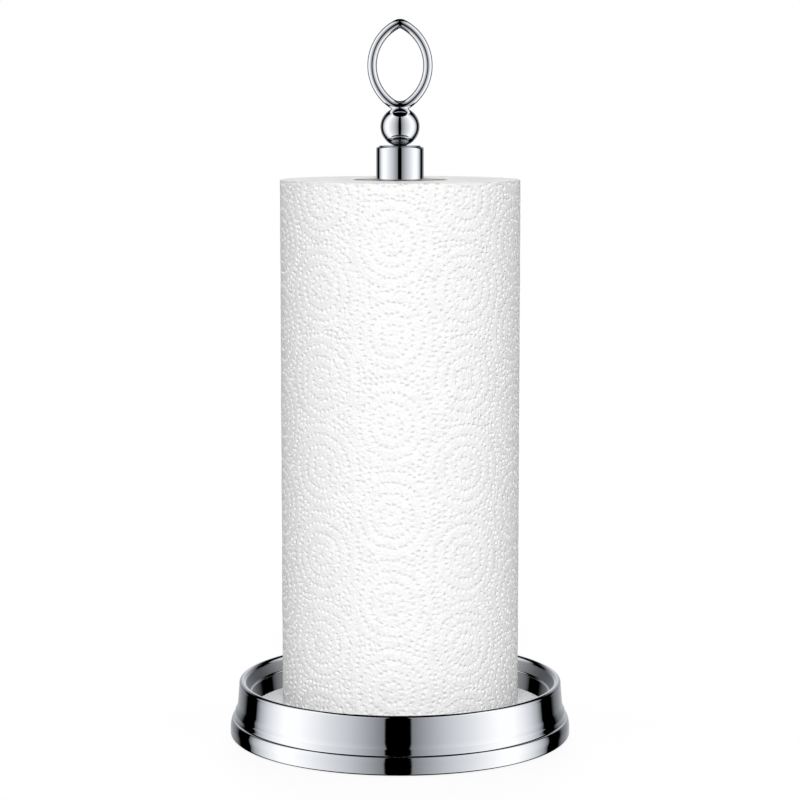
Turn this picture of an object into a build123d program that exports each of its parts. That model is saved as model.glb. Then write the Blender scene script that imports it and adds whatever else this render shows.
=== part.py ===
"""Countertop paper towel holder: chromed tray base, post, ball-and-loop finial and a towel roll."""
from build123d import *
from math import cos, radians, sin, sqrt
import os

# Towel roll that the holder is sized for, a standard 11 inch roll (mm)
ROLL_HEIGHT = 279.0
ROLL_DIAMETER = 124.6
CORE_BORE = 46.9
CORE_WALL = 0.9
PLY = 0.45             # one embossed sheet, the step at the loose end
TAIL_ANGLE = 68.0      # where the loose end lies, in degrees from +X towards the back
ROLL_SEAT_GAP = 0.2    # under the roll, which stands on the tray floor
WIND_GAP = 0.3         # between the core and the first turn of towel

# Thicknesses of the base, stacked from the table up
SHEET = 0.8            # pressed steel of the skirt and the tray rim
FOOT_PROUD = 0.5       # how far the foot ring reaches below the skirt
COVER_PLATE = 1.2
WEIGHT_THICKNESS = 8.9
FLOOR_PLATE = 1.5
LEDGE_RISE = 9.1       # ledge of the tray wall above the floor
RIM_RISE = 7.5         # top of the lip above the ledge

# Tray, from the roll outwards
ROLL_CLEARANCE = 16.4  # between the roll and the foot of the tray wall
WALL_DRAFT = 0.8       # the tray wall leans out by this much up to the ledge
LEDGE_NOSE = 0.75      # the ledge's round nose stands in from the wall
LEDGE_HALF = 0.7       # half the height of that nose
LEDGE_CROWN = 0.35     # how round the nose is
RIM_FLARE = 2.85       # the slope from the ledge up to the lip
RIM_WIDTH = 3.3        # the rounded lip, from side to side
LIP_LEG = 0.75         # straight edge of the lip that meets the skirt
FLANGE = 3.2           # turned in under the floor plate

# Skirt moulding, from the lip down and outwards
SKIRT_TAPER = 0.8
COVE_FLARE = 1.2
COVE_HEIGHT = 3.8
BEAD_FLARE = 0.27      # the bead's round shoulder, out from the cove
BEAD_SHOULDER = 0.9    # height of that shoulder
BEAD_HEIGHT = 3.8      # top of the bead above the plinth
BEAD_HOLLOW = 1.0      # radius of the hollow at the foot of the bead
PLINTH_HEIGHT = 9.7    # top of the plinth above the table
PLINTH_EDGE = 0.5      # tight round edge on top of the plinth, out from the hollow
PLINTH_DROP = 0.35     # height of that edge
PLINTH_SWELL = 0.95    # the plinth's side swells out by this much below the edge
SWELL_HEIGHT = 4.75
HEM_BEND = 0.6
HEM_WIDTH = 5.0
FOOT_WIDTH = 18.0
FOOT_MARGIN = 0.5      # between the foot ring and the hem

# Post and its bolt
POST_DIAMETER = 24.6
POST_WALL = 1.5
POST_PROUD = 16.9      # top of the tube above the roll
POST_EDGE = 1.0        # rounded top edge
INSERT_HEIGHT = 15.0
PLUG_HEIGHT = 8.0      # inside the tube
PLUG_PROUD = 0.6       # above the tube
PLUG_EDGE = 0.4
BOLT_DIAMETER = 6.0
BOLT_HEAD_DIAMETER = 10.5
BOLT_HEAD_HEIGHT = 3.3
BOLT_SOCKET = 4.0      # across the flats of the hexagon
BOLT_SOCKET_DEPTH = 2.0
BOLT_REACH = 12.0      # thread taken up in the insert
BOLT_LIFT = 0.8        # bolt head above the table
SPRING_WASHER_DIAMETER = 11.8
SPRING_WASHER = 1.6
SPRING_SPLIT = 1.2
FLAT_WASHER_DIAMETER = 18.0
FLAT_WASHER = 1.6
WRENCH_ROOM = 2.0      # round the widest washer, in the weight and the cover

# Finial
BALL_DIAMETER = 20.3
BALL_FOOT = 6.2        # across the flat that the ball stands on
STUD_DIAMETER = 4.0
STUD_REACH = 8.0       # thread taken up in the ball
STUD_TIP_GAP = 0.5     # hole left beyond the end of the stud
LOOP_SLACK = 6.65      # between the loop and the bore of the core, on each side
LOOP_HEIGHT = 48.3     # over the wire, if both its tips were sharp
LOOP_SINK = 0.6        # lower tip of the wire's middle line, if sharp, below the top of the ball
TIP_BEND = 3.5         # bend of the wire's middle line at the upper tip
FOOT_BEND = 8.0        # and at the lower tip, on the ball
WIRE = 4.9
BRAZE_LENGTH = 9.2     # the brazed foot of the loop, along it and across it
BRAZE_WIDTH = 6.6
BRAZE_RISE = 0.1       # above the top of the ball
BRAZE_EDGE = 0.5

# Clearances
PLATE_FIT = 0.1        # discs that drop into the pressings
HOLE_FIT = 0.3         # bolt through plain holes
THREAD_FIT = 0.05      # bolt and stud in tapped holes
PRESS_FIT = 0.05       # plugs in the tube

# Heights above the table
hem_top = FOOT_PROUD + SHEET
cover_top = hem_top + COVER_PLATE
weight_top = cover_top + WEIGHT_THICKNESS
floor_top = weight_top + FLOOR_PLATE
ledge_z = floor_top + LEDGE_RISE
rim_top = ledge_z + RIM_RISE
lip_z = rim_top - RIM_WIDTH / 2
seam_z = lip_z - LIP_LEG
swell_foot = PLINTH_HEIGHT - PLINTH_DROP - SWELL_HEIGHT
hollow_top = PLINTH_HEIGHT + BEAD_HOLLOW
bead_top = PLINTH_HEIGHT + BEAD_HEIGHT
shoulder_z = bead_top - BEAD_SHOULDER
cove_top = bead_top + COVE_HEIGHT
roll_bottom = floor_top + ROLL_SEAT_GAP
roll_top = roll_bottom + ROLL_HEIGHT
post_top = roll_top + POST_PROUD
plug_top = post_top + PLUG_PROUD

# Radii, from the roll outwards
roll_r = ROLL_DIAMETER / 2
floor_r = roll_r + ROLL_CLEARANCE
wall_r = floor_r + WALL_DRAFT
ledge_r = wall_r - LEDGE_NOSE
slope_r = ledge_r + LEDGE_CROWN
lip_in_r = ledge_r + RIM_FLARE
rim_r = lip_in_r + RIM_WIDTH
wall_foot_r = rim_r + SKIRT_TAPER
cove_foot_r = wall_foot_r + COVE_FLARE
bead_r = cove_foot_r + BEAD_FLARE
hollow_r = bead_r + BEAD_HOLLOW
edge_r = hollow_r + PLINTH_EDGE
base_r = edge_r + PLINTH_SWELL
hem_r = base_r - HEM_WIDTH
flange_r = floor_r - FLANGE

# The bolt's stack below the post, from its head up
bolt_r = BOLT_DIAMETER / 2
head_top = BOLT_LIFT + BOLT_HEAD_HEIGHT
spring_top = head_top + SPRING_WASHER
bolt_seat = spring_top + FLAT_WASHER
bolt_hole_r = bolt_r + HOLE_FIT
recess_r = FLAT_WASHER_DIAMETER / 2 + WRENCH_ROOM

# The post and what it holds
post_r = POST_DIAMETER / 2
plug_r = post_r - POST_WALL - PRESS_FIT
ball_r = BALL_DIAMETER / 2
ball_z = plug_top + sqrt(ball_r**2 - (BALL_FOOT / 2) ** 2)
ball_top = ball_z + ball_r
stud_r = STUD_DIAMETER / 2

# The loop's wire runs on two arcs, which meet in a tight bend at the top and a wider one on the ball
wire_r = WIRE / 2
loop_half_width = CORE_BORE / 2 - LOOP_SLACK - wire_r
loop_half_height = LOOP_HEIGHT / 2 - wire_r
loop_z = ball_top - LOOP_SINK + loop_half_height
arc_r = (loop_half_height**2 + loop_half_width**2) / (2 * loop_half_width)
arc_past = arc_r - loop_half_width  # each arc's centre lies past the axis
bend_rise = sqrt((arc_r - TIP_BEND) ** 2 - arc_past**2)
bend_share = arc_r / (arc_r - TIP_BEND)
bend_start = (arc_past * (bend_share - 1), loop_z + bend_rise * bend_share)
bend_top = (0, loop_z + bend_rise + TIP_BEND)
foot_drop = sqrt((arc_r - FOOT_BEND) ** 2 - arc_past**2)
foot_share = arc_r / (arc_r - FOOT_BEND)
foot_end = (arc_past * (foot_share - 1), loop_z - foot_drop * foot_share)
foot_low = (0, loop_z - foot_drop - FOOT_BEND)

# The towel roll
core_r = CORE_BORE / 2
core_out_r = core_r + CORE_WALL
paper_bore_r = core_out_r + WIND_GAP


# Base skirt: plinth, hollow, bead, cove and wall outside, a plain skin inside, revolved
with BuildPart() as base_skirt:
    with BuildSketch(Plane.XZ) as skirt_section:
        with BuildLine():
            Polyline(
                (hem_r, hem_top),
                (hem_r, FOOT_PROUD),
                (base_r, FOOT_PROUD),
                (base_r, swell_foot),
            )
            swell = TangentArc(
                (base_r, swell_foot), (edge_r, PLINTH_HEIGHT - PLINTH_DROP), tangent=(0, 1)
            )
            TangentArc(swell @ 1, (hollow_r, PLINTH_HEIGHT), tangent=swell % 1)
            TangentArc((hollow_r, PLINTH_HEIGHT), (bead_r, hollow_top), tangent=(-1, 0))
            Line((bead_r, hollow_top), (bead_r, shoulder_z))
            TangentArc((bead_r, shoulder_z), (cove_foot_r, bead_top), tangent=(0, 1))
            wall_line = Line((wall_foot_r, cove_top), (rim_r, seam_z))
            down_wall = wall_line @ 0 - wall_line @ 1
            TangentArc((wall_foot_r, cove_top), (cove_foot_r, bead_top), tangent=down_wall)
            Line((rim_r, seam_z), (rim_r - SHEET, seam_z))
            Line((rim_r - SHEET, seam_z), (wall_foot_r - SHEET, cove_top))
            TangentArc(
                (wall_foot_r - SHEET, cove_top),
                (cove_foot_r - SHEET, bead_top),
                tangent=down_wall,
            )
            Polyline(
                (cove_foot_r - SHEET, bead_top),
                (bead_r - SHEET, shoulder_z),
                (bead_r - SHEET, PLINTH_HEIGHT - SHEET),
                (edge_r - SHEET, PLINTH_HEIGHT - SHEET),
                (base_r - SHEET, swell_foot),
                (base_r - SHEET, hem_top),
                (hem_r, hem_top),
            )
        make_face()
        hem_corner = skirt_section.vertices().group_by(Axis.Z)[0].sort_by(Axis.X)[-1]
        fillet(hem_corner, HEM_BEND)
    revolve(axis=Axis.Z)

# Tray rim: lip, slope, ledge, tray wall and flange in one pressing, revolved
with BuildPart() as tray_rim:
    with BuildSketch(Plane.XZ):
        with BuildLine():
            Line((rim_r, seam_z), (rim_r, lip_z))
            ThreePointArc((rim_r, lip_z), (rim_r - RIM_WIDTH / 2, rim_top), (lip_in_r, lip_z))
            Line((lip_in_r, lip_z), (slope_r, ledge_z + LEDGE_HALF))
            ThreePointArc(
                (slope_r, ledge_z + LEDGE_HALF),
                (ledge_r, ledge_z),
                (wall_r, ledge_z - LEDGE_HALF),
            )
            Polyline(
                (wall_r, ledge_z - LEDGE_HALF),
                (floor_r, floor_top),
                (floor_r, weight_top),
                (flange_r, weight_top),
                (flange_r, weight_top - SHEET),
                (floor_r + SHEET, weight_top - SHEET),
                (floor_r + SHEET, floor_top),
                (wall_r + SHEET, ledge_z - LEDGE_HALF),
                (slope_r + SHEET, ledge_z + LEDGE_HALF),
                (lip_in_r + SHEET, lip_z),
            )
            ThreePointArc(
                (lip_in_r + SHEET, lip_z),
                (rim_r - RIM_WIDTH / 2, rim_top - SHEET),
                (rim_r - SHEET, lip_z),
            )
            Polyline((rim_r - SHEET, lip_z), (rim_r - SHEET, seam_z), (rim_r, seam_z))
        make_face()
    revolve(axis=Axis.Z)

# Floor plate: a disc in the tray, on the weight and the rim's flange
with BuildPart() as floor_plate:
    with BuildSketch(Plane.XY.offset(weight_top)):
        Circle(floor_r - PLATE_FIT)
        Circle(bolt_hole_r, mode=Mode.SUBTRACT)
    extrude(amount=FLOOR_PLATE)

# Base weight: a disc with a shoulder under the flange and a recess for the bolt head
with BuildPart() as base_weight:
    with BuildSketch(Plane.XY.offset(cover_top)):
        Circle(floor_r)
    extrude(amount=WEIGHT_THICKNESS - SHEET)
    with BuildSketch(Plane.XY.offset(weight_top - SHEET)):
        Circle(flange_r - PLATE_FIT)
    extrude(amount=SHEET)
    with BuildSketch(Plane.XY.offset(cover_top)):
        Circle(recess_r)
    extrude(amount=bolt_seat - cover_top, mode=Mode.SUBTRACT)
    Hole(bolt_hole_r)

# Bottom cover: a disc on the skirt's hem, open in the middle for the wrench
with BuildPart() as bottom_cover:
    with BuildSketch(Plane.XY.offset(hem_top)):
        Circle(base_r - SHEET - PLATE_FIT)
        Circle(recess_r, mode=Mode.SUBTRACT)
    extrude(amount=COVER_PLATE)

# Foot ring: from the cover down to the table
with BuildPart() as foot_ring:
    with BuildSketch():
        Circle(hem_r - FOOT_MARGIN)
        Circle(hem_r - FOOT_MARGIN - FOOT_WIDTH, mode=Mode.SUBTRACT)
    extrude(amount=hem_top)

# Post bolt: a domed head with a hexagon socket, and a plain shank up into the insert
with BuildPart() as post_bolt:
    with BuildSketch(Plane.XY.offset(BOLT_LIFT)):
        Circle(BOLT_HEAD_DIAMETER / 2)
    extrude(amount=BOLT_HEAD_HEIGHT)
    fillet(post_bolt.edges().sort_by(Axis.Z)[0], BOLT_HEAD_HEIGHT / 2)
    with BuildSketch(Plane.XY.offset(BOLT_LIFT)):
        RegularPolygon(BOLT_SOCKET / 2, 6, major_radius=False)
    extrude(amount=BOLT_SOCKET_DEPTH, mode=Mode.SUBTRACT)
    with BuildSketch(Plane.XY.offset(head_top)):
        Circle(bolt_r)
    extrude(amount=floor_top + BOLT_REACH - head_top)

# Spring washer: a ring that is split on one side
with BuildPart() as spring_washer:
    with BuildSketch(Plane.XY.offset(head_top)):
        Circle(SPRING_WASHER_DIAMETER / 2)
        Circle(bolt_hole_r, mode=Mode.SUBTRACT)
        with Locations((SPRING_WASHER_DIAMETER / 2, 0)):
            Rectangle(SPRING_WASHER_DIAMETER, SPRING_SPLIT, mode=Mode.SUBTRACT)
    extrude(amount=SPRING_WASHER)

# Flat washer: on the spring washer, against the weight
with BuildPart() as flat_washer:
    with BuildSketch(Plane.XY.offset(spring_top)):
        Circle(FLAT_WASHER_DIAMETER / 2)
        Circle(bolt_hole_r, mode=Mode.SUBTRACT)
    extrude(amount=FLAT_WASHER)

# Post insert: the tapped plug in the foot of the tube
with BuildPart() as post_insert:
    with BuildSketch(Plane.XY.offset(floor_top)):
        Circle(plug_r)
        Circle(bolt_r + THREAD_FIT, mode=Mode.SUBTRACT)
    extrude(amount=INSERT_HEIGHT)

# Post tube: stands on the floor plate
with BuildPart() as post_tube:
    with BuildSketch(Plane.XY.offset(floor_top)):
        Circle(post_r)
        Circle(post_r - POST_WALL, mode=Mode.SUBTRACT)
    extrude(amount=post_top - floor_top)
    top_edge = post_tube.edges().group_by(Axis.Z)[-1].sort_by(SortBy.RADIUS)[-1]
    fillet(top_edge, min(POST_EDGE, 0.8 * POST_WALL))

# Post plug: closes the tube, stands a little proud of it and takes the stud
with BuildPart() as post_plug:
    with BuildSketch(Plane.XY.offset(post_top - PLUG_HEIGHT)):
        Circle(plug_r)
        Circle(stud_r + THREAD_FIT, mode=Mode.SUBTRACT)
    extrude(amount=PLUG_HEIGHT + PLUG_PROUD)
    plug_edge = post_plug.edges().group_by(Axis.Z)[-1].sort_by(SortBy.RADIUS)[-1]
    fillet(plug_edge, min(PLUG_EDGE, 0.8 * PLUG_PROUD))

# Finial stud: through the plug, up into the ball
with BuildPart() as finial_stud:
    with BuildSketch(Plane.XY.offset(post_top - PLUG_HEIGHT)):
        Circle(stud_r)
    extrude(amount=PLUG_HEIGHT + PLUG_PROUD + STUD_REACH)

# Finial ball: cut flat where it stands on the plug, with the stud's hole from below
with BuildPart() as finial_ball:
    with BuildSketch(Plane.XZ):
        with BuildLine():
            CenterArc((0, ball_z), ball_r, -90, 180)
            Line((0, ball_top), (0, ball_z - ball_r))
        make_face()
    revolve(axis=Axis.Z)
    split(bisect_by=Plane.XY.offset(plug_top))
    with BuildSketch(Plane.XY.offset(plug_top)):
        Circle(stud_r + THREAD_FIT)
    extrude(amount=STUD_REACH + STUD_TIP_GAP, mode=Mode.SUBTRACT)

# Finial loop: a brazed foot shaped to the ball, and round wire swept up one side and mirrored
with BuildPart() as finial_loop:
    with BuildSketch(Plane.XY.offset(ball_z)):
        Ellipse(BRAZE_LENGTH / 2, BRAZE_WIDTH / 2)
    extrude(amount=ball_r + BRAZE_RISE)
    fillet(finial_loop.edges().sort_by(Axis.Z)[-1], BRAZE_EDGE)
    with BuildLine(Plane.XZ) as right_side:
        TangentArc(foot_low, foot_end, tangent=(1, 0))
        side_arc = ThreePointArc(foot_end, (loop_half_width, loop_z), bend_start)
        TangentArc(bend_start, bend_top, tangent=side_arc % 1)
    with BuildSketch(Plane(right_side.wire() @ 0, z_dir=right_side.wire() % 0)):
        Circle(wire_r)
    sweep(path=right_side.wire())
    mirror(about=Plane.YZ)
    with Locations((0, 0, ball_z)):
        Sphere(ball_r, mode=Mode.SUBTRACT)

# Cardboard core: the tube that the towel is wound on
with BuildPart() as cardboard_core:
    with BuildSketch(Plane.XY.offset(roll_bottom)):
        Circle(core_out_r)
        Circle(core_r, mode=Mode.SUBTRACT)
    extrude(amount=ROLL_HEIGHT)


def roll_point(turn):
    """A point of the outer turn, which grows by one ply from where it begins to the loose end."""
    angle = radians(TAIL_ANGLE + 360 * turn)
    radius = roll_r - PLY * (1 - turn)
    return radius * cos(angle), radius * sin(angle)


# Paper roll: the outer turn winds out by one ply and ends in the step of the loose end
QUARTERS = 4
with BuildPart() as paper_roll:
    with BuildSketch(Plane.XY.offset(roll_bottom)):
        with BuildLine():
            for quarter in range(QUARTERS):
                ThreePointArc(
                    roll_point(quarter / QUARTERS),
                    roll_point((quarter + 0.5) / QUARTERS),
                    roll_point((quarter + 1) / QUARTERS),
                )
            Line(roll_point(1), roll_point(0))
        make_face()
        Circle(paper_bore_r, mode=Mode.SUBTRACT)
    extrude(amount=ROLL_HEIGHT)

pieces = {
    "base_skirt": base_skirt,
    "tray_rim": tray_rim,
    "floor_plate": floor_plate,
    "base_weight": base_weight,
    "bottom_cover": bottom_cover,
    "foot_ring": foot_ring,
    "post_bolt": post_bolt,
    "spring_washer": spring_washer,
    "flat_washer": flat_washer,
    "post_insert": post_insert,
    "post_tube": post_tube,
    "post_plug": post_plug,
    "finial_stud": finial_stud,
    "finial_ball": finial_ball,
    "finial_loop": finial_loop,
    "cardboard_core": cardboard_core,
    "paper_roll": paper_roll,
}
os.makedirs("parts", exist_ok=True)
for name, piece in pieces.items():
    piece.part.label = name
    export_step(piece.part, f"parts/{name}.step")
print(f"base {2 * base_r:.1f} across, rim {rim_top:.1f}, post {post_top:.1f}, loop {loop_z:.1f} high")
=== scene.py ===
# %% [markdown]
# # A chrome paper towel holder
# The holder is a moulded tray base, a post, a ball with a pointed wire loop on it, and a towel roll
# that stands on the tray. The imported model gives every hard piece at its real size, so this lesson
# spends its time on what a solid can't show: polished plating, a turned steel floor, and a roll of
# towel whose outer turn is pressed with thousands of small dents.

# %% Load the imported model
import math

import bmesh
import bpy
from mathutils import Matrix, Vector, noise


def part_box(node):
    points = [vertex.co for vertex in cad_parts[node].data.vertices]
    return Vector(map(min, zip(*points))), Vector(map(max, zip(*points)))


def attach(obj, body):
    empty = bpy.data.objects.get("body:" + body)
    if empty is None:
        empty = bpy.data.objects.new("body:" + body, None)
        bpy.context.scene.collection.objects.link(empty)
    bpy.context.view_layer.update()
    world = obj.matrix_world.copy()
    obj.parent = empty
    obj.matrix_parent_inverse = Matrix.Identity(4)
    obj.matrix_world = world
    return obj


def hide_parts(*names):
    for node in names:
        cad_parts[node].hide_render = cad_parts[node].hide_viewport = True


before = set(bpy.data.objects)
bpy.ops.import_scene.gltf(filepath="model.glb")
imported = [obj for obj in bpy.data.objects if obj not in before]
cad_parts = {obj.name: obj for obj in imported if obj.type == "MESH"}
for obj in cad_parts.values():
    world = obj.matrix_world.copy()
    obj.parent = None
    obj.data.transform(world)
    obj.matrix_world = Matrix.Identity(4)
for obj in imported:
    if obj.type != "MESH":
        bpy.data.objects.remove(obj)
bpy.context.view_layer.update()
MM = 0.001

# %% [markdown]
# ## The camera
# The photograph was taken from a little above the top of the roll, with a long lens. Fitting the
# ellipses of the base, the rim and the roll gives the distance, the height and the tilt. A long lens
# keeps the sides of the roll nearly parallel, so no lens shift is needed.

# %% Camera at the photograph's place
CAMERA_PLACE = Vector((0.0, -1.2904, 0.3342))
CAMERA_TILT = 6.93    # degrees below level
LENS = 111.99         # millimetres
SENSOR_WIDTH = 36.0   # millimetres

scene = bpy.context.scene
camera = bpy.data.objects.new("camera", bpy.data.cameras.new("camera"))
camera.data.lens = LENS
camera.data.sensor_width = SENSOR_WIDTH
camera.location = CAMERA_PLACE
camera.rotation_euler = (math.radians(90 - CAMERA_TILT), 0, 0)
scene.collection.objects.link(camera)
scene.camera = camera
scene.view_settings.view_transform = "Standard"
print("camera at", tuple(round(v, 3) for v in CAMERA_PLACE))

# %% [markdown]
# ## Small helpers for shader nodes
# A finish is a handful of nodes wired together. One helper adds a node and fills its sockets: a value
# is set on the socket, and an output of another node is linked to it. The others are short names for the
# nodes that come back in almost every finish.

# %% Node helpers


def add_node(tree, kind, sockets=None, **settings):
    """Add a node, set its properties, and fill its input sockets with values or links."""
    node = tree.nodes.new(kind)
    for name, value in settings.items():
        setattr(node, name, value)
    for name, value in (sockets or {}).items():
        if isinstance(value, bpy.types.NodeSocket):
            tree.links.new(value, node.inputs[name])
        else:
            node.inputs[name].default_value = value
    return node


def math_node(tree, operation, first, second=0.0):
    """A Math node's output."""
    return add_node(tree, "ShaderNodeMath", {0: first, 1: second}, operation=operation).outputs[0]


def ramp_node(tree, factor, stops):
    """A colour ramp's output, from (place, grey or colour) stops."""
    node = add_node(tree, "ShaderNodeValToRGB", {"Fac": factor})
    elements = node.color_ramp.elements
    while len(elements) < len(stops):
        elements.new(1.0)
    for element, (place, tone) in zip(elements, stops):
        element.position = place
        rgb = tone if isinstance(tone, tuple) else (tone, tone, tone)
        element.color = (*rgb, 1.0)
    return node.outputs["Color"]


def range_node(tree, value, source, target=(0.0, 1.0)):
    """A Map Range node's output: the source range becomes the target range."""
    sockets = {
        "Value": value,
        "From Min": source[0],
        "From Max": source[1],
        "To Min": target[0],
        "To Max": target[1],
    }
    return add_node(tree, "ShaderNodeMapRange", sockets).outputs["Result"]


def piece_place(tree):
    """The place of a point on its piece, in metres."""
    return add_node(tree, "ShaderNodeTexCoord").outputs["Object"]


def new_finish(name):
    """An empty material with its shader: returns the material, its tree and the shader."""
    material = bpy.data.materials.new(name)
    material.use_nodes = True
    return material, material.node_tree, material.node_tree.nodes["Principled BSDF"]


print("helpers ready")

# %% [markdown]
# ## The studio
# Polished chrome has almost no colour of its own: what we see is the room. The dark stripe down the
# middle of the base and the two beside it are the gaps between large light panels. The panels are
# drawn in the world by compass direction, counted from the front: a narrow dark gap where the camera
# stands, a panel that grows brighter towards the side and fades again, a second gap, and a grey room
# behind. The panels end overhead and below, and the room behind is only a low band: that is where the
# dark outlines on the ball, the wire and the ledge come from. The metal sees this room, the camera sees
# plain white, and matt surfaces get a little less light from it, so that the lamps can model them.

# %% World of light panels
# Degrees from the front, and how bright the room is there
PANEL_TONES = (
    (0.0, 0.0),
    (8.8, 0.0),
    (9.4, 0.20),
    (21.0, 0.37),
    (33.0, 0.54),
    (50.0, 0.73),
    (62.0, 0.88),
    (74.0, 1.0),
    (87.0, 1.0),
    (97.0, 0.83),
    (105.0, 0.65),
    (113.0, 0.40),
    (118.0, 0.14),
    (119.5, 0.0),
    (136.0, 0.0),
    (143.0, 0.15),
    (162.0, 0.38),
    (180.0, 0.62),
)
PANEL_GAIN = 1.12     # makes up for what the metal swallows
MATT_LOSS = 0.25      # and matt surfaces get this much less of it
PANEL_TURN = 1.3      # degrees that the room is turned from the camera
# Degrees above level, and what is left there of the panels, or of the room behind
PANEL_HEIGHTS = ((-49.0, 0.0), (-47.0, 1.0), (59.0, 1.0), (61.0, 0.0))
ROOM_HEIGHTS = ((-27.0, 0.0), (-20.0, 1.0), (21.0, 1.0), (29.0, 0.0))
ROOM_START = 128.0    # degrees from the front where the room behind begins
COOL = Vector((0.955, 0.99, 1.055))
HALF_TURN = 180.0     # degrees


def cool_tone(grey):
    """A dim panel is a little blue, a bright one is white."""
    tint = COOL.lerp(Vector((1, 1, 1)), grey**2)
    return tuple(grey * tint)


def left_at_height(tree, height, stops):
    """What is left at a height, which runs from 0 below to 1 overhead."""
    return ramp_node(tree, height, [(rise / HALF_TURN + 0.5, share) for rise, share in stops])


world = bpy.data.worlds.new("studio")
scene.world = world
world.use_nodes = True
sky = world.node_tree
sky.nodes.clear()
heading = add_node(sky, "ShaderNodeTexCoord").outputs["Generated"]
split = add_node(sky, "ShaderNodeSeparateXYZ", {"Vector": heading})
forward = math_node(sky, "MULTIPLY", split.outputs["Y"], -1.0)
compass = math_node(sky, "ARCTAN2", split.outputs["X"], forward)
compass = math_node(sky, "ADD", compass, math.radians(PANEL_TURN))
compass = math_node(sky, "DIVIDE", math_node(sky, "ABSOLUTE", compass), math.pi)
panels = ramp_node(sky, compass, [(turn / HALF_TURN, cool_tone(grey)) for turn, grey in PANEL_TONES])
height = math_node(sky, "ARCSINE", split.outputs["Z"])
height = math_node(sky, "ADD", math_node(sky, "DIVIDE", height, math.pi), 0.5)
reach = left_at_height(sky, height, PANEL_HEIGHTS)
low = left_at_height(sky, height, ROOM_HEIGHTS)
ahead = math_node(sky, "LESS_THAN", compass, ROOM_START / HALF_TURN)
band = math_node(sky, "MULTIPLY", reach, math_node(sky, "MAXIMUM", low, ahead))
ray = add_node(sky, "ShaderNodeLightPath").outputs
loss = math_node(sky, "MULTIPLY", ray["Is Diffuse Ray"], MATT_LOSS)
strength = math_node(sky, "MULTIPLY", band, math_node(sky, "SUBTRACT", PANEL_GAIN, loss))
studio = add_node(sky, "ShaderNodeBackground", {"Color": panels, "Strength": strength})
plain = add_node(sky, "ShaderNodeBackground", {"Color": (1, 1, 1, 1), "Strength": 1.0})
seen = add_node(sky, "ShaderNodeMixShader", {0: ray["Is Camera Ray"]})
sky.links.new(studio.outputs[0], seen.inputs[1])
sky.links.new(plain.outputs[0], seen.inputs[2])
out = add_node(sky, "ShaderNodeOutputWorld")
sky.links.new(seen.outputs[0], out.inputs["Surface"])
print("panels", len(PANEL_TONES), "tones")

# %% [markdown]
# ## Lamps
# A wide lamp high in front models the towel: the upper wall of each dent turns away from it and goes
# grey, the lower wall catches it, and the roll darkens towards its sides. It stands far off, so that
# the foot of the roll is lit almost as well as its top. Two weaker lamps keep the top and the back
# from going dull. The lamps stay out of the mirror, which has the panels to show.

# %% Lamps
# Name, place in metres, width in metres, power in watts
LAMPS = (
    ("key_lamp", (0.0, -8.4, 4.5), 2.6, 755.0),
    ("top_lamp", (0.0, 0.2, 2.2), 1.2, 8.0),
    ("back_lamp", (0.0, 3.3, 1.2), 1.8, 85.0),
)
AIM = Vector((0, 0, 0.14))

for name, place, width, power in LAMPS:
    lamp = bpy.data.lights.new(name, "AREA")
    lamp.energy = power
    lamp.size = width
    lamp_object = bpy.data.objects.new(name, lamp)
    lamp_object.location = place
    lamp_object.rotation_euler = (AIM - Vector(place)).to_track_quat("-Z", "Y").to_euler()
    lamp_object.visible_glossy = False
    lamp_object.visible_camera = False
    scene.collection.objects.link(lamp_object)
print("lamps", len(LAMPS))

# %% [markdown]
# ## Floor
# The floor is plain white and runs into the white backdrop with no edge. Near the holder a small share
# of its look comes from light, and so it keeps a faint shadow, which fades out with the distance. It is
# left out of the mirror, because in the photograph the base shows the panels and not a table.

# %% White floor
FLOOR_HALF = 6.0
FLOOR_DROP = 0.1 * MM
FLOOR_LIT = (0.95, 0.95, 0.95, 1)      # where it shows light and shadow
FLOOR_BOUNCE = (0.45, 0.45, 0.45, 1)   # what it throws back on the holder
SHADOW_SHARE = 0.14          # how much of the look near the holder comes from light and shadow
SHADOW_FADE = (0.09, 0.45)   # metres from the axis where that share begins to fade, and is gone

floor_mesh = bmesh.new()
bmesh.ops.create_grid(floor_mesh, x_segments=1, y_segments=1, size=FLOOR_HALF)
bmesh.ops.translate(floor_mesh, verts=floor_mesh.verts, vec=(0, 0, -FLOOR_DROP))
floor = bpy.data.objects.new("floor", bpy.data.meshes.new("floor"))
floor_mesh.to_mesh(floor.data)
floor_mesh.free()
scene.collection.objects.link(floor)
floor.visible_glossy = False


def axis_distance(tree):
    """The distance from the holder's axis, in metres."""
    sockets = {0: piece_place(tree), 1: (1, 1, 0)}
    flat = add_node(tree, "ShaderNodeVectorMath", sockets, operation="MULTIPLY").outputs["Vector"]
    length = add_node(tree, "ShaderNodeVectorMath", {0: flat}, operation="LENGTH")
    return length.outputs["Value"]


floor_finish, tree, shader = new_finish("white_floor")
tree.nodes.remove(shader)
lit = add_node(tree, "ShaderNodeBsdfDiffuse", {"Color": FLOOR_LIT})
bounce = add_node(tree, "ShaderNodeBsdfDiffuse", {"Color": FLOOR_BOUNCE})
glow = add_node(tree, "ShaderNodeEmission", {"Color": (1, 1, 1, 1), "Strength": 1.0})
fade = range_node(tree, axis_distance(tree), SHADOW_FADE, (SHADOW_SHARE, 0.0))
shown = add_node(tree, "ShaderNodeMixShader", {0: fade})
tree.links.new(glow.outputs[0], shown.inputs[1])
tree.links.new(lit.outputs[0], shown.inputs[2])
ray = add_node(tree, "ShaderNodeLightPath").outputs
choice = add_node(tree, "ShaderNodeMixShader", {0: ray["Is Camera Ray"]})
tree.links.new(bounce.outputs[0], choice.inputs[1])
tree.links.new(shown.outputs[0], choice.inputs[2])
tree.links.new(choice.outputs[0], tree.nodes["Material Output"].inputs["Surface"])
floor.data.materials.append(floor_finish)
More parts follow.
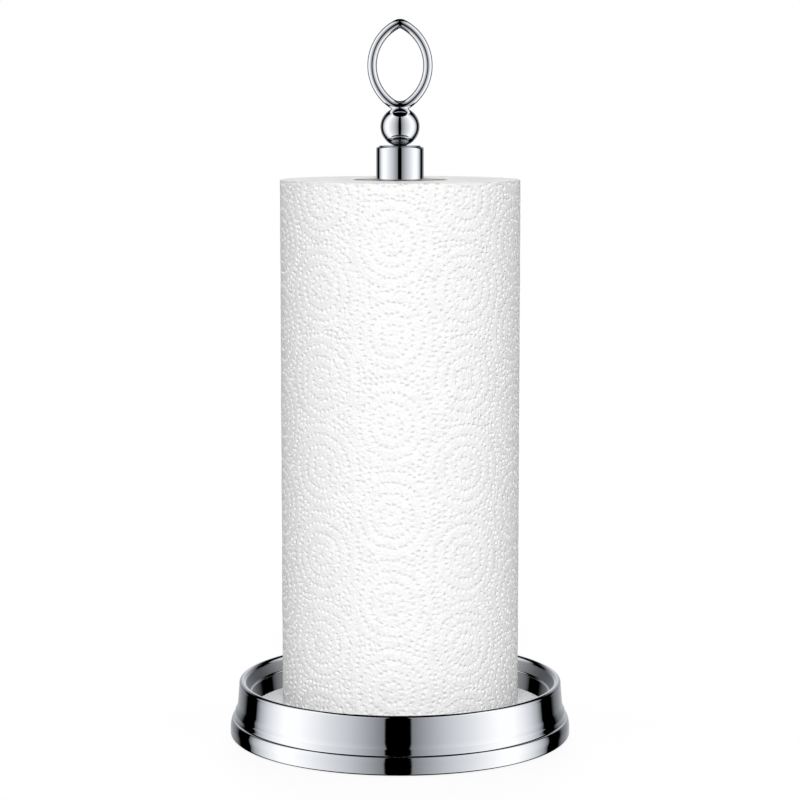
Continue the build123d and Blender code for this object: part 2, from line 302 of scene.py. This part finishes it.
print("floor", 2 * FLOOR_HALF, "m wide")

# %% [markdown]
# ## Polished chrome
# Chrome plate is a bright, slightly blue metal. A perfect mirror looks drawn, so the roughness drifts
# a little, as plating that has been wiped does, and very fine polishing marks run through it. Inside the
# tray the walls carry painted shade: their colour is darkened there, except for the round nose of the
# ledge, and the slope under the lip, which a polishing wheel doesn't reach, is duller as well.

# %% Chrome
CHROME_TONE = (0.88, 0.89, 0.91, 1)
WIPES = (0.15, 0.4)      # the range of the noise that stands for wiping
GLOSS = (0.015, 0.05)    # and the roughness that it gives
LIP_WIDTH = 3.3 * MM
TRAY_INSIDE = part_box("tray_rim")[1].x - LIP_WIDTH
LIP_START = TRAY_INSIDE + 0.2 * LIP_WIDTH   # the lip itself is plain chrome
FLOOR_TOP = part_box("floor_plate")[1].z
RIM_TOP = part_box("tray_rim")[1].z
# Painted shade as a colour factor, and roughness, inside the tray, from its floor (0) to the top of its
# lip (1)
WALL_PAINTED_SHADE = ((0.49, 0.34), (0.51, 1.0), (0.585, 1.0), (0.605, 0.62), (0.86, 0.62), (0.92, 1.0))
WALL_ROUGH = ((0.59, 0.0), (0.61, 0.42), (0.86, 0.42), (0.92, 0.0))


def noise_node(tree, scale, detail):
    """A noise texture's output, read by the place on the piece."""
    sockets = {"Vector": piece_place(tree), "Scale": scale, "Detail": detail}
    return add_node(tree, "ShaderNodeTexNoise", sockets).outputs["Fac"]


def multiplied(tree, tone, by, share=1.0):
    """A colour multiplied by another one, as far as the share says."""
    sockets = {"Fac": share, "Color1": tone, "Color2": by}
    return add_node(tree, "ShaderNodeMixRGB", sockets, blend_type="MULTIPLY").outputs["Color"]


def chrome_finish(name):
    """Bright plating with faint wipe marks: returns the material, its tree and the shader."""
    material, tree, shader = new_finish(name)
    wipes = noise_node(tree, scale=22.0, detail=4.0)
    marks = noise_node(tree, scale=2600.0, detail=2.0)
    gloss = range_node(tree, math_node(tree, "MULTIPLY", wipes, marks), WIPES, GLOSS)
    shader.inputs["Base Color"].default_value = CHROME_TONE
    shader.inputs["Metallic"].default_value = 1.0
    tree.links.new(gloss, shader.inputs["Roughness"])
    return material, tree, shader


def tray_chrome_finish():
    """Chrome with painted shade on the walls inside the tray, and duller on the slope under the lip."""
    material, tree, shader = chrome_finish("tray_chrome")
    inside = range_node(tree, axis_distance(tree), (TRAY_INSIDE, LIP_START), (1.0, 0.0))
    rise = add_node(tree, "ShaderNodeSeparateXYZ", {"Vector": piece_place(tree)}).outputs["Z"]
    share = range_node(tree, rise, (FLOOR_TOP, RIM_TOP))
    # Painted shade: the colour of the walls inside the tray is darkened, but not on the ledge's nose or
    # the lip
    tone = multiplied(tree, CHROME_TONE, ramp_node(tree, share, WALL_PAINTED_SHADE), inside)
    tree.links.new(tone, shader.inputs["Base Color"])
    dull = math_node(tree, "MULTIPLY", inside, ramp_node(tree, share, WALL_ROUGH))
    polish = shader.inputs["Roughness"].links[0].from_socket
    tree.links.new(math_node(tree, "MAXIMUM", polish, dull), shader.inputs["Roughness"])
    return material


chrome = chrome_finish("polished_chrome")[0]
tray_chrome = tray_chrome_finish()
print("made", chrome.name, tray_chrome.name)

# %% [markdown]
# ## Turned steel floor and the hidden metals
# The tray floor is a satin disc. It was faced on a lathe, so its fine lines are rings: a one-dimensional
# noise read by the distance from the axis draws them. The other metals are plainer: a bare steel plug in
# the post, which keeps the foot of the ball dark, a zinc-plated cover, plated fasteners and a weight of
# raw cast iron.

# %% Steel and iron
ALL_NOISE = (0.0, 1.0)        # the whole range of a noise
TURNED_GLOSS = (0.34, 0.5)
GRAIN_GLOSS = 0.08            # how far the roughness of a plain metal goes up and down


def mottled(tree, shader, mottle, dark, light):
    """Colour a finish between a dark and a light tone, by the middle range of a noise."""
    tree.links.new(ramp_node(tree, mottle, ((0.3, dark), (0.7, light))), shader.inputs["Base Color"])


def embossed(tree, shader, height, strength, distance):
    """Bump a finish by a height, which stands out by a distance at most."""
    sockets = {"Height": height, "Strength": strength, "Distance": distance}
    bump = add_node(tree, "ShaderNodeBump", sockets)
    tree.links.new(bump.outputs["Normal"], shader.inputs["Normal"])


def turned_steel_finish():
    """Satin steel with fine rings from the lathe."""
    material, tree, shader = new_finish("turned_steel")
    sockets = {"W": axis_distance(tree), "Scale": 2200.0, "Detail": 3.0}
    rings = add_node(tree, "ShaderNodeTexNoise", sockets, noise_dimensions="1D").outputs["Fac"]
    mottled(tree, shader, rings, (0.88, 0.89, 0.90), (0.94, 0.95, 0.96))
    tree.links.new(range_node(tree, rings, ALL_NOISE, TURNED_GLOSS), shader.inputs["Roughness"])
    embossed(tree, shader, rings, strength=0.12, distance=0.02 * MM)
    shader.inputs["Metallic"].default_value = 0.15
    return material


def grained_metal_finish(name, dark, light, rough, grain, depth, metallic=1.0):
    """A plain metal: mottled tone, uneven gloss and a grain of its own size."""
    material, tree, shader = new_finish(name)
    mottled(tree, shader, noise_node(tree, scale=90.0, detail=5.0), dark, light)
    skin = noise_node(tree, scale=grain, detail=3.0)
    gloss = range_node(tree, skin, ALL_NOISE, (rough - GRAIN_GLOSS, rough + GRAIN_GLOSS))
    tree.links.new(gloss, shader.inputs["Roughness"])
    embossed(tree, shader, skin, strength=0.5, distance=depth)
    shader.inputs["Metallic"].default_value = metallic
    return material


turned_steel = turned_steel_finish()
zinc_plate = grained_metal_finish(
    "zinc_plate", (0.50, 0.51, 0.53), (0.64, 0.65, 0.66), rough=0.42, grain=700.0, depth=0.02 * MM
)
fastener_plate = grained_metal_finish(
    "fastener_plate", (0.58, 0.58, 0.58), (0.72, 0.72, 0.73), rough=0.3, grain=1500.0, depth=0.01 * MM
)
plug_steel = grained_metal_finish(
    "plug_steel", (0.32, 0.33, 0.34), (0.38, 0.39, 0.40), rough=0.12, grain=2500.0, depth=0.004 * MM
)
raw_iron = grained_metal_finish(
    "raw_iron", (0.05, 0.05, 0.055), (0.11, 0.11, 0.115), rough=0.7, grain=500.0, depth=0.25 * MM,
    metallic=0.6,
)
print("made", turned_steel.name, zinc_plate.name, fastener_plate.name, plug_steel.name, raw_iron.name)

# %% [markdown]
# ## Rubber foot and cardboard core
# The foot is a soft black ring with a pebbled face. The core is a strip of grey board wound in a
# spiral, so its overlap climbs round the tube: the seam is drawn where height and turn agree.

# %% Rubber and board
PEBBLE_TONES = ((0.0, 0.022), (0.8, 0.040))


def foot_rubber_finish():
    """Dull black rubber with a pebbled face."""
    material, tree, shader = new_finish("foot_rubber")
    sockets = {"Vector": piece_place(tree), "Scale": 900.0}
    pebbles = add_node(tree, "ShaderNodeTexVoronoi", sockets).outputs["Distance"]
    tree.links.new(ramp_node(tree, pebbles, PEBBLE_TONES), shader.inputs["Base Color"])
    embossed(tree, shader, pebbles, strength=0.6, distance=0.12 * MM)
    shader.inputs["Roughness"].default_value = 0.78
    return material


SEAM_CLIMB = 62.0 * MM   # height gained by the board's seam in one turn
SEAM_TONES = ((0.0, 0.0), (0.012, 0.9), (0.03, 1.0), (0.97, 1.0), (1.0, 0.7))
SEAM_SHARE = 0.45        # how much the seam shows in the colour
BOARD_TONES = ((0.3, (0.46, 0.43, 0.39)), (0.7, (0.62, 0.59, 0.55)))
FIBRE_SHARE = 0.3        # how much the fibres show in the relief


def core_board_finish():
    """Grey board with a spiral seam and paper fibres."""
    material, tree, shader = new_finish("core_board")
    part = add_node(tree, "ShaderNodeSeparateXYZ", {"Vector": piece_place(tree)}).outputs
    turn = math_node(tree, "DIVIDE", math_node(tree, "ARCTAN2", part["Y"], part["X"]), 2 * math.pi)
    climb = math_node(tree, "DIVIDE", part["Z"], SEAM_CLIMB)
    strip = math_node(tree, "FRACT", math_node(tree, "SUBTRACT", climb, turn))
    seam = ramp_node(tree, strip, SEAM_TONES)
    fibres = noise_node(tree, scale=420.0, detail=6.0)
    tone = multiplied(tree, ramp_node(tree, fibres, BOARD_TONES), seam, SEAM_SHARE)
    tree.links.new(tone, shader.inputs["Base Color"])
    relief = math_node(tree, "ADD", math_node(tree, "MULTIPLY", fibres, FIBRE_SHARE), seam)
    embossed(tree, shader, relief, strength=0.5, distance=0.2 * MM)
    shader.inputs["Roughness"].default_value = 0.88
    return material


foot_rubber = foot_rubber_finish()
core_board = core_board_finish()
print("made", foot_rubber.name, core_board.name)

# %% [markdown]
# ## Dressing the solid pieces
# The post, the finial and the parts below are already the right shape, so each only takes its finish.
# The pieces of the base, like the towel later, are kept out of the mirror: in the photograph the tray
# wall, the mouldings and the ball show the light panels alone.

# %% Finishes on the solid pieces
FINISH_OF = {
    "post_tube": chrome,
    "post_plug": plug_steel,
    "finial_ball": chrome,
    "finial_loop": chrome,
    "floor_plate": turned_steel,
    "bottom_cover": zinc_plate,
    "post_insert": zinc_plate,
    "post_bolt": fastener_plate,
    "spring_washer": fastener_plate,
    "flat_washer": fastener_plate,
    "finial_stud": fastener_plate,
    "base_weight": raw_iron,
    "foot_ring": foot_rubber,
    "cardboard_core": core_board,
}
UNMIRRORED = (
    "floor_plate", "base_weight", "bottom_cover", "foot_ring",
    "post_bolt", "spring_washer", "flat_washer",
)
for node, finish in FINISH_OF.items():
    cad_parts[node].material_slots[0].material = finish
for node in UNMIRRORED:
    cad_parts[node].visible_glossy = False
print("dressed", len(FINISH_OF), "pieces")

# %% [markdown]
# ## Spinning the pressings
# The skirt and the rim of the base are pressed sheet with thin bright lines round them. The packed
# triangles are too uneven for such lines and break them into dots. Both pieces are round, so the outline
# of each is read where its surface closes, at the +X side, and spun again in even steps. The skirt's
# sheet is bent round at its hem as well: a bevel does that, and the bend shows the dark below as a thin
# outline along the table. Edges that are really sharp are marked, and the rest is shaded smooth.

# %% Skirt and rim
SPIN_STEPS = 240
TINY = 0.001 * MM
HEM_ROUND = 1.2 * MM
HEM_SEGMENTS = 6
PRESSED_SHARP = math.radians(40)   # an edge of the pressings that bends more than this is sharp


def seam_outline(node):
    """The outline of a round node's half section, from the points where its surface closes."""
    bm = bmesh.new()
    bm.from_mesh(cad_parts[node].data)
    bmesh.ops.remove_doubles(bm, verts=bm.verts, dist=TINY)
    elsewhere = [v for v in bm.verts if abs(v.co.y) > TINY or v.co.x < 0]
    bmesh.ops.delete(bm, geom=elsewhere, context="VERTS")
    ends = sorted((v for v in bm.verts if len(v.link_edges) == 1), key=lambda v: v.co.z)
    for first, second in zip(ends[::2], ends[1::2]):
        bm.edges.new((first, second))
    return bm


def mark_sharp(bm, angle):
    """Keep the edges sharp that bend more than an angle."""
    for edge in bm.edges:
        edge.smooth = edge.calc_face_angle(0.0) < angle


def smooth_piece(bm, name):
    """Make a piece of a bmesh: shaded smooth, in the scene, and kept out of the mirror."""
    piece = bpy.data.objects.new(name, bpy.data.meshes.new(name))
    bm.to_mesh(piece.data)
    bm.free()
    piece.data.polygons.foreach_set("use_smooth", [True] * len(piece.data.polygons))
    piece.visible_glossy = False
    scene.collection.objects.link(piece)
    return piece


def spun_piece(node, hem_round=0.0):
    """A round node, spun from its outline, with its lowest outer edge rounded if asked."""
    bm = seam_outline(node)
    points = len(bm.verts)
    bmesh.ops.spin(
        bm, geom=bm.verts[:] + bm.edges[:], cent=(0, 0, 0), axis=(0, 0, 1), dvec=(0, 0, 0),
        angle=2 * math.pi, steps=SPIN_STEPS, use_merge=True,
    )
    bmesh.ops.recalc_face_normals(bm, faces=bm.faces)
    if hem_round:
        low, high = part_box(node)
        hem = {v for v in bm.verts if v.co.z < low.z + TINY and v.co.xy.length > high.x - TINY}
        rim = [e for e in bm.edges if e.verts[0] in hem and e.verts[1] in hem]
        bmesh.ops.bevel(
            bm, geom=rim, offset=hem_round, offset_type="OFFSET", affect="EDGES",
            segments=HEM_SEGMENTS, profile=0.5, material=-1,
        )
    mark_sharp(bm, PRESSED_SHARP)
    loose = sum(edge.is_boundary for edge in bm.edges)
    piece = smooth_piece(bm, f"{node}_spun")
    even = piece.modifiers.new("even_shine", "WEIGHTED_NORMAL")
    even.keep_sharp = True
    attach(piece, "holder")
    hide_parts(node)
    print(piece.name, "outline points", points, "faces", len(piece.data.polygons), "open edges", loose)
    return piece


spun_piece("base_skirt", HEM_ROUND).data.materials.append(chrome)
spun_piece("tray_rim").data.materials.append(tray_chrome)

# %% [markdown]
# ## Towel paper
# Towel is soft white tissue: no gloss at all, a little unevenness in tone where fibres crowd, and a
# fuzzy crêpe surface much finer than the pressed dents. The dents themselves are modelled. Painted
# shade darkens the bottoms of the dents and the cut ends of the roll, so the pieces carry an attribute
# that says how much of its colour the paper loses there.

# %% Towel paper
TISSUE_TONES = ((0.3, (0.846, 0.84, 0.836)), (0.7, (0.906, 0.90, 0.891)))


def towel_finish():
    """White tissue with crêpe, fibre clouds and the painted shade that the pieces carry."""
    material, tree, shader = new_finish("towel_paper")
    clouds = noise_node(tree, scale=160.0, detail=6.0)
    lost = add_node(tree, "ShaderNodeAttribute", attribute_name="painted_shade_share").outputs["Fac"]
    kept = math_node(tree, "SUBTRACT", 1.0, lost)
    tone = multiplied(tree, ramp_node(tree, clouds, TISSUE_TONES), kept)
    tree.links.new(tone, shader.inputs["Base Color"])
    crepe = noise_node(tree, scale=800.0, detail=5.0)
    embossed(tree, shader, crepe, strength=1.0, distance=0.9 * MM)
    shader.inputs["Roughness"].default_value = 0.95
    shader.inputs["Specular IOR Level"].default_value = 0.15
    return material


towel_paper = towel_finish()
print("made", towel_paper.name)

# %% [markdown]
# ## Where the dents go
# The press rolls leave rings of small dents round evenly spaced middles. The middles stand on a
# honeycomb that fits a whole number of times round the roll. Each ring keeps the dents that are nearer
# to its own middle than to any other, and a few past that line, so that neighbouring rings run into
# each other and no part of the sheet is left smooth.

# %% Plan of the dents
ROLL_RADIUS = 62.3 * MM
PLY = 0.45 * MM
ROLL_LOW, ROLL_HIGH = (corner.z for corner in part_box("paper_roll"))
ROLL_HEIGHT = ROLL_HIGH - ROLL_LOW
GIRTH = 2 * math.pi * ROLL_RADIUS
COLUMNS = 10
COLUMN_STEP = GIRTH / COLUMNS
MIDDLE_STEP = COLUMN_STEP * 2 / math.sqrt(3)
NEIGHBOUR = 1.1 * MIDDLE_STEP   # the middles next to a middle are nearer than this
RING_STEP = 5.6 * MM
DENT_STEP = 2.9 * MM
RINGS = 6
OVERLAP = 1.2 * RING_STEP
STRAY = 0.55 * MM        # how far a dent lies from its place, as paper gives under the press
PRESS_SEED = 5           # the dents stray in the same way on every run


def ring_middles():
    """The middles of the rings on the unrolled sheet, with spare columns past both ends."""
    rows = math.ceil(ROLL_HEIGHT / MIDDLE_STEP)
    for column in range(-1, COLUMNS + 1):
        lift = MIDDLE_STEP / 2 if column % 2 else 0.0
        for row in range(-1, rows + 1):
            yield Vector(((column + 0.5) * COLUMN_STEP, row * MIDDLE_STEP + lift))


def dent_plan():
    """Every dent's place on the unrolled sheet."""
    middles = list(ring_middles())
    plan = []
    for middle in middles:
        near = [m for m in middles if 0 < (m - middle).length < NEIGHBOUR]
        for ring in range(RINGS):
            count = max(1, round(2 * math.pi * ring * RING_STEP / DENT_STEP))
            for step in range(count):
                angle = 2 * math.pi * (step + 0.5 * (ring % 2)) / count
                dent = middle + ring * RING_STEP * Vector((math.cos(angle), math.sin(angle)))
                own = (dent - middle).length
                if all((dent - m).length > own - OVERLAP for m in near):
                    plan.append(dent)
    plan = [d + STRAY * noise.noise_vector((d / DENT_STEP).to_3d()).xy for d in plan]
    return [d for d in plan if 0 < d.x < GIRTH and 0 < d.y < ROLL_HEIGHT]


noise.seed_set(PRESS_SEED)
dents = dent_plan()
print("dents", len(dents), "middle step", round(MIDDLE_STEP / MM, 1), "mm")

# %% [markdown]
# ## Where the towel tears
# A towel tears off along a row of short slits. The loose end lies at the back of the roll, and the next
# row of slits is one towel's length before it, so it crosses the outer turn once.

# %% Plan of the slits
TOWEL_LENGTH = 280.0 * MM
SLIT_STEP = 2.6 * MM

slit_count = math.floor(ROLL_HEIGHT / SLIT_STEP)
slits = [Vector((GIRTH - TOWEL_LENGTH, (row + 0.5) * SLIT_STEP)) for row in range(slit_count)]
print("slits", len(slits))

# %% [markdown]
# ## Pressing the flat sheet
# The outer turn is made flat, as the mill makes it. A fine grid gives a free cell to each dent and slit:
# the nearest cell slides under it and takes its size, and an inset pushes the middle of the cell in.
# Two pressed cells never share a corner. The turn is cut in four, so that no piece is too heavy.

# %% Pressing helpers
SHEETS = 4
CELL = 1.4 * MM
CELLS_ROUND = round(GIRTH / SHEETS / CELL)
CELLS_UP = round(ROLL_HEIGHT / CELL)
CELL_WIDE = GIRTH / SHEETS / CELLS_ROUND
CELL_HIGH = ROLL_HEIGHT / CELLS_UP
SLIDE = 0.3     # share of a cell that it may slide
TRIES = 5       # cells that a dent may choose from
AROUND = [(i, j) for i in (-1, 0, 1) for j in (-1, 0, 1)]


def free_cell(spot, first, taken):
    """The nearest cell to a spot on the sheet that shares no corner with a taken cell."""
    column = (spot.x - first) / CELL_WIDE - 0.5
    row = spot.y / CELL_HIGH - 0.5
    options = [(round(column) + i, round(row) + j) for i, j in AROUND]
    options.sort(key=lambda cell: math.hypot(cell[0] - column, cell[1] - row))
    for cell in options[:TRIES]:
        inside = 1 <= cell[0] < CELLS_ROUND - 1 and 0 <= cell[1] < CELLS_UP
        if inside and not any((cell[0] + i, cell[1] + j) in taken for i, j in AROUND):
            return cell
    return None


def fit_cell(face, spot, wide, high):
    """Slide a cell towards a spot and give it a size. The cut edge of the sheet stays straight."""
    home = face.calc_center_median()
    reach_x = SLIDE * CELL_WIDE
    reach_y = SLIDE * CELL_HIGH
    middle_x = home.x + max(-reach_x, min(reach_x, spot.x - home.x))
    middle_y = home.y + max(-reach_y, min(reach_y, spot.y - home.y))
    for vert in face.verts:
        across = math.copysign(wide / 2, vert.co.x - home.x)
        up = math.copysign(high / 2, vert.co.y - home.y)
        vert.co = (middle_x + across, vert.co.y if vert.is_boundary else middle_y + up, 0)


def claim_cells(bm, spots, size, first, taken):
    """Fit a free cell to each spot that lies on this sheet, and give the cells back."""
    bm.faces.ensure_lookup_table()
    claimed = []
    for spot in spots:
        if not first <= spot.x < first + GIRTH / SHEETS:
            continue
        cell = free_cell(spot, first, taken)
        if cell:
            taken.add(cell)
            claimed.append(bm.faces[cell[1] * CELLS_ROUND + cell[0]])
            fit_cell(claimed[-1], spot, *size)
    return claimed


print("cells", CELLS_ROUND * SHEETS, "round", CELLS_UP, "up")

# %% [markdown]
# ## Rolling up the sheets
# A pressed sheet is rolled by arithmetic: the distance along it becomes an angle, and the turn grows by
# one ply from where it starts to its loose end. A little noise keeps the paper from looking turned on a
# lathe. The cut edges are extruded inwards, so that the paper has a thickness where it ends, and creased,
# so that the smoothing leaves them crisp.

# %% Sheets of the outer turn
TAIL_ANGLE = math.radians(68.0)
DENT_SIZE = (1.65 * MM, 1.5 * MM)
DENT_RIM = 0.3 * MM
DENT_DEPTH = 0.9 * MM
DRAG = 0.12 * MM         # the press drags the paper: a dent is steeper on its upper side
SLIT_SIZE = (0.4 * MM, 1.7 * MM)
SLIT_RIM = 0.1 * MM
SLIT_DEPTH = 0.35 * MM
EDGE_TURN = 1.2 * MM     # how far the cut edges reach in
WAVE = 0.12 * MM         # slow waves of the sheet
WAVE_STEP = 13.0 * MM
CRUMPLE = 0.09 * MM      # and the small unevenness of tissue between the dents
CRUMPLE_STEP = 1.9 * MM
FRINGE = 0.5 * MM        # the torn end is this uneven
FRINGE_STEP = 2.8 * MM
DENT_SHADE = 0.07        # share of its colour that painted shade takes in the dents and slits
CUT_SHADE = 0.05         # and that painted shade takes on the cut ends


def roll_up(bm):
    """Wrap a flat sheet round the roll: x becomes the turn, y the height, z the distance out."""
    for vert in bm.verts:
        turn = vert.co.x / GIRTH
        angle = TAIL_ANGLE + 2 * math.pi * turn
        out = Vector((math.cos(angle), math.sin(angle), 0))
        radius = ROLL_RADIUS - PLY * (1 - turn) + vert.co.z
        place = radius * out + Vector((0, 0, ROLL_LOW + vert.co.y))
        lift = WAVE * noise.noise(place / WAVE_STEP) + CRUMPLE * noise.noise(place / CRUMPLE_STEP)
        vert.co = place + lift * out


def fray_end(bm):
    """Make the torn end of the last sheet uneven."""
    for vert in bm.verts:
        if vert.co.x > GIRTH - CELL_WIDE / 4:
            vert.co.x -= FRINGE * abs(noise.noise(Vector((0, vert.co.y / FRINGE_STEP, 0))))


def cut_edges(bm, number):
    """The edges where the paper ends: top, bottom, and the loose end on the last sheet."""
    border = [edge for edge in bm.edges if edge.is_boundary]
    level = [e for e in border if abs(e.verts[0].co.y - e.verts[1].co.y) < TINY]
    if number < SHEETS - 1:
        return level
    return level + [e for e in border if min(v.co.x for v in e.verts) > GIRTH - CELL_WIDE / 2]


def paint_shade(bm, verts, amount):
    """Write on the paper how much painted shade darkens its colour here."""
    lost = bm.verts.layers.float["painted_shade_share"]
    for vert in verts:
        vert[lost] = amount


def press_in(bm, faces, rim, depth, drag):
    """Push the middles of the faces in, drag them up the sheet and give them painted shade."""
    bmesh.ops.inset_individual(bm, faces=faces, thickness=rim, depth=-depth)
    middles = {vert for face in faces for vert in face.verts}
    bmesh.ops.translate(bm, verts=list(middles), vec=(0, drag, 0))
    paint_shade(bm, middles, DENT_SHADE)


def towel_sheet(number):
    """A quarter of the outer turn, pressed, rolled and given edges as thick as the paper."""
    first = number * GIRTH / SHEETS
    bm = bmesh.new()
    bm.verts.layers.float.new("painted_shade_share")
    crease = bm.edges.layers.float.new("crease_edge")
    bmesh.ops.create_grid(bm, x_segments=CELLS_ROUND, y_segments=CELLS_UP, size=0.5)
    bmesh.ops.translate(bm, verts=bm.verts, vec=(0.5, 0.5, 0))
    bmesh.ops.scale(bm, verts=bm.verts, vec=(GIRTH / SHEETS, ROLL_HEIGHT, 1))
    bmesh.ops.translate(bm, verts=bm.verts, vec=(first, 0, 0))
    taken = set()
    cut = claim_cells(bm, slits, SLIT_SIZE, first, taken)
    pressed = claim_cells(bm, dents, DENT_SIZE, first, taken)
    press_in(bm, cut, SLIT_RIM, SLIT_DEPTH, 0.0)
    press_in(bm, pressed, DENT_RIM, DENT_DEPTH, DRAG)
    ends = cut_edges(bm, number)
    turned = bmesh.ops.extrude_edge_only(bm, edges=ends)["geom"]
    for edge in ends:
        edge[crease] = 1.0
        edge.smooth = False
    lip = [part for part in turned if isinstance(part, bmesh.types.BMVert)]
    bmesh.ops.translate(bm, verts=lip, vec=(0, 0, -EDGE_TURN))
    # Painted shade on the turned cut edges of the sheet
    paint_shade(bm, lip, CUT_SHADE)
    fray_end(bm)
    roll_up(bm)
    bmesh.ops.recalc_face_normals(bm, faces=bm.faces)
    piece = smooth_piece(bm, f"towel_sheet_{number + 1}")
    smooth = piece.modifiers.new("soft_paper", "SUBSURF")
    smooth.levels = smooth.render_levels = 1
    print(piece.name, "dents", len(pressed), "slits", len(cut), "faces", len(piece.data.polygons))
    return piece


towel_pieces = [towel_sheet(number) for number in range(SHEETS)]

# %% [markdown]
# ## The wound towel inside
# The ends of the roll show the paper edge-on: one long spiral of plies. A flat strip with a ridge for
# each ply is stood up beside the axis, and its outline is spun once round. Then each ring is moved out
# by its share of one ply, so the last ring lands on the first one, a ply further out, and the seam can
# be merged into a true spiral.

# %% Wound body of the roll
WIND_GAP = 0.3 * MM
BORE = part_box("cardboard_core")[1].x + WIND_GAP
UNDER = 1.05 * MM        # the body stays this far under the pressed surface
WINDINGS = round((ROLL_RADIUS - PLY - UNDER - BORE) / PLY)
PITCH = (ROLL_RADIUS - PLY - UNDER - BORE) / WINDINGS
GROOVE = 0.12 * MM       # between two plies, at the ends of the roll
FRAY = GROOVE / 2        # and the plies end this unevenly
FRAY_STEP = 4.0 * MM
BODY_STEPS = 144
SEAM_MERGE = 0.01 * MM   # points nearer than this are one point at the seam
PLY_SHARP = math.radians(70)


def body_outline():
    """The outline of the roll's half section, ridged at both ends, beside the axis."""
    bm = bmesh.new()
    bm.verts.layers.float.new("painted_shade_share")
    bmesh.ops.create_grid(bm, x_segments=2 * WINDINGS, y_segments=1, size=0.5)
    bmesh.ops.translate(bm, verts=bm.verts, vec=(0.5, 0.5, 0))
    for vert in bm.verts:
        if round(vert.co.x * 2 * WINDINGS) % 2 == 0:
            vert.co.y += GROOVE / ROLL_HEIGHT * (1 if vert.co.y < 0.5 else -1)
    bmesh.ops.scale(bm, verts=bm.verts, vec=(WINDINGS * PITCH, ROLL_HEIGHT, 1))
    upright = Matrix.Rotation(math.radians(90), 3, "X")
    bmesh.ops.rotate(bm, verts=bm.verts, cent=(0, 0, 0), matrix=upright)
    bmesh.ops.translate(bm, verts=bm.verts, vec=(BORE, 0, ROLL_LOW))
    bmesh.ops.delete(bm, geom=bm.faces[:], context="FACES_KEEP_BOUNDARY")
    return bm


def wind_out(vert, turn):
    """Move a point out by its share of a ply, and turn the seam to the loose end."""
    flat = Vector((vert.co.x, vert.co.y))
    out = flat.normalized() * (flat.length + PITCH * turn)
    vert.co.xy = Matrix.Rotation(TAIL_ANGLE, 2) @ out


def towel_body():
    """The wound paper between the core and the outer turn."""
    bm = body_outline()
    start = set(bm.verts)
    # The spin leaves its two ends apart, because the last ring has to move out before they are merged
    spun = bmesh.ops.spin(
        bm, geom=bm.verts[:] + bm.edges[:], cent=(0, 0, 0), axis=(0, 0, 1), dvec=(0, 0, 0),
        angle=2 * math.pi, steps=BODY_STEPS, use_merge=False,
    )
    finish = {part for part in spun["geom_last"] if isinstance(part, bmesh.types.BMVert)}
    for vert in bm.verts:
        turn = math.atan2(vert.co.y, vert.co.x) / (2 * math.pi) % 1.0
        wind_out(vert, 0.0 if vert in start else 1.0 if vert in finish else turn)
    bmesh.ops.remove_doubles(bm, verts=bm.verts, dist=SEAM_MERGE)
    bmesh.ops.holes_fill(bm, edges=[edge for edge in bm.edges if edge.is_boundary], sides=0)
    bmesh.ops.recalc_face_normals(bm, faces=bm.faces)
    for vert in bm.verts:
        inwards = -1 if vert.co.z > ROLL_LOW + ROLL_HEIGHT / 2 else 1
        vert.co.z += inwards * FRAY * abs(noise.noise(vert.co / FRAY_STEP))
    mark_sharp(bm, PLY_SHARP)
    # Painted shade on the whole wound body, which shows as the ends of the roll
    paint_shade(bm, bm.verts, CUT_SHADE)
    loose = sum(edge.is_boundary for edge in bm.edges)
    piece = smooth_piece(bm, "towel_body")
    print(piece.name, "windings", WINDINGS, "faces", len(piece.data.polygons), "open edges", loose)
    return piece


towel_pieces.append(towel_body())

# %% [markdown]
# ## Hanging the towel on its body
# All pieces of the towel turn together on the core, so they ride on the towel's body, and together they
# stand for the plain solid roll.

# %% Towel pieces on their body
for piece in towel_pieces:
    piece.data.materials.append(towel_paper)
    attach(piece, "towel")
    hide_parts("paper_roll")
print("towel pieces", len(towel_pieces))
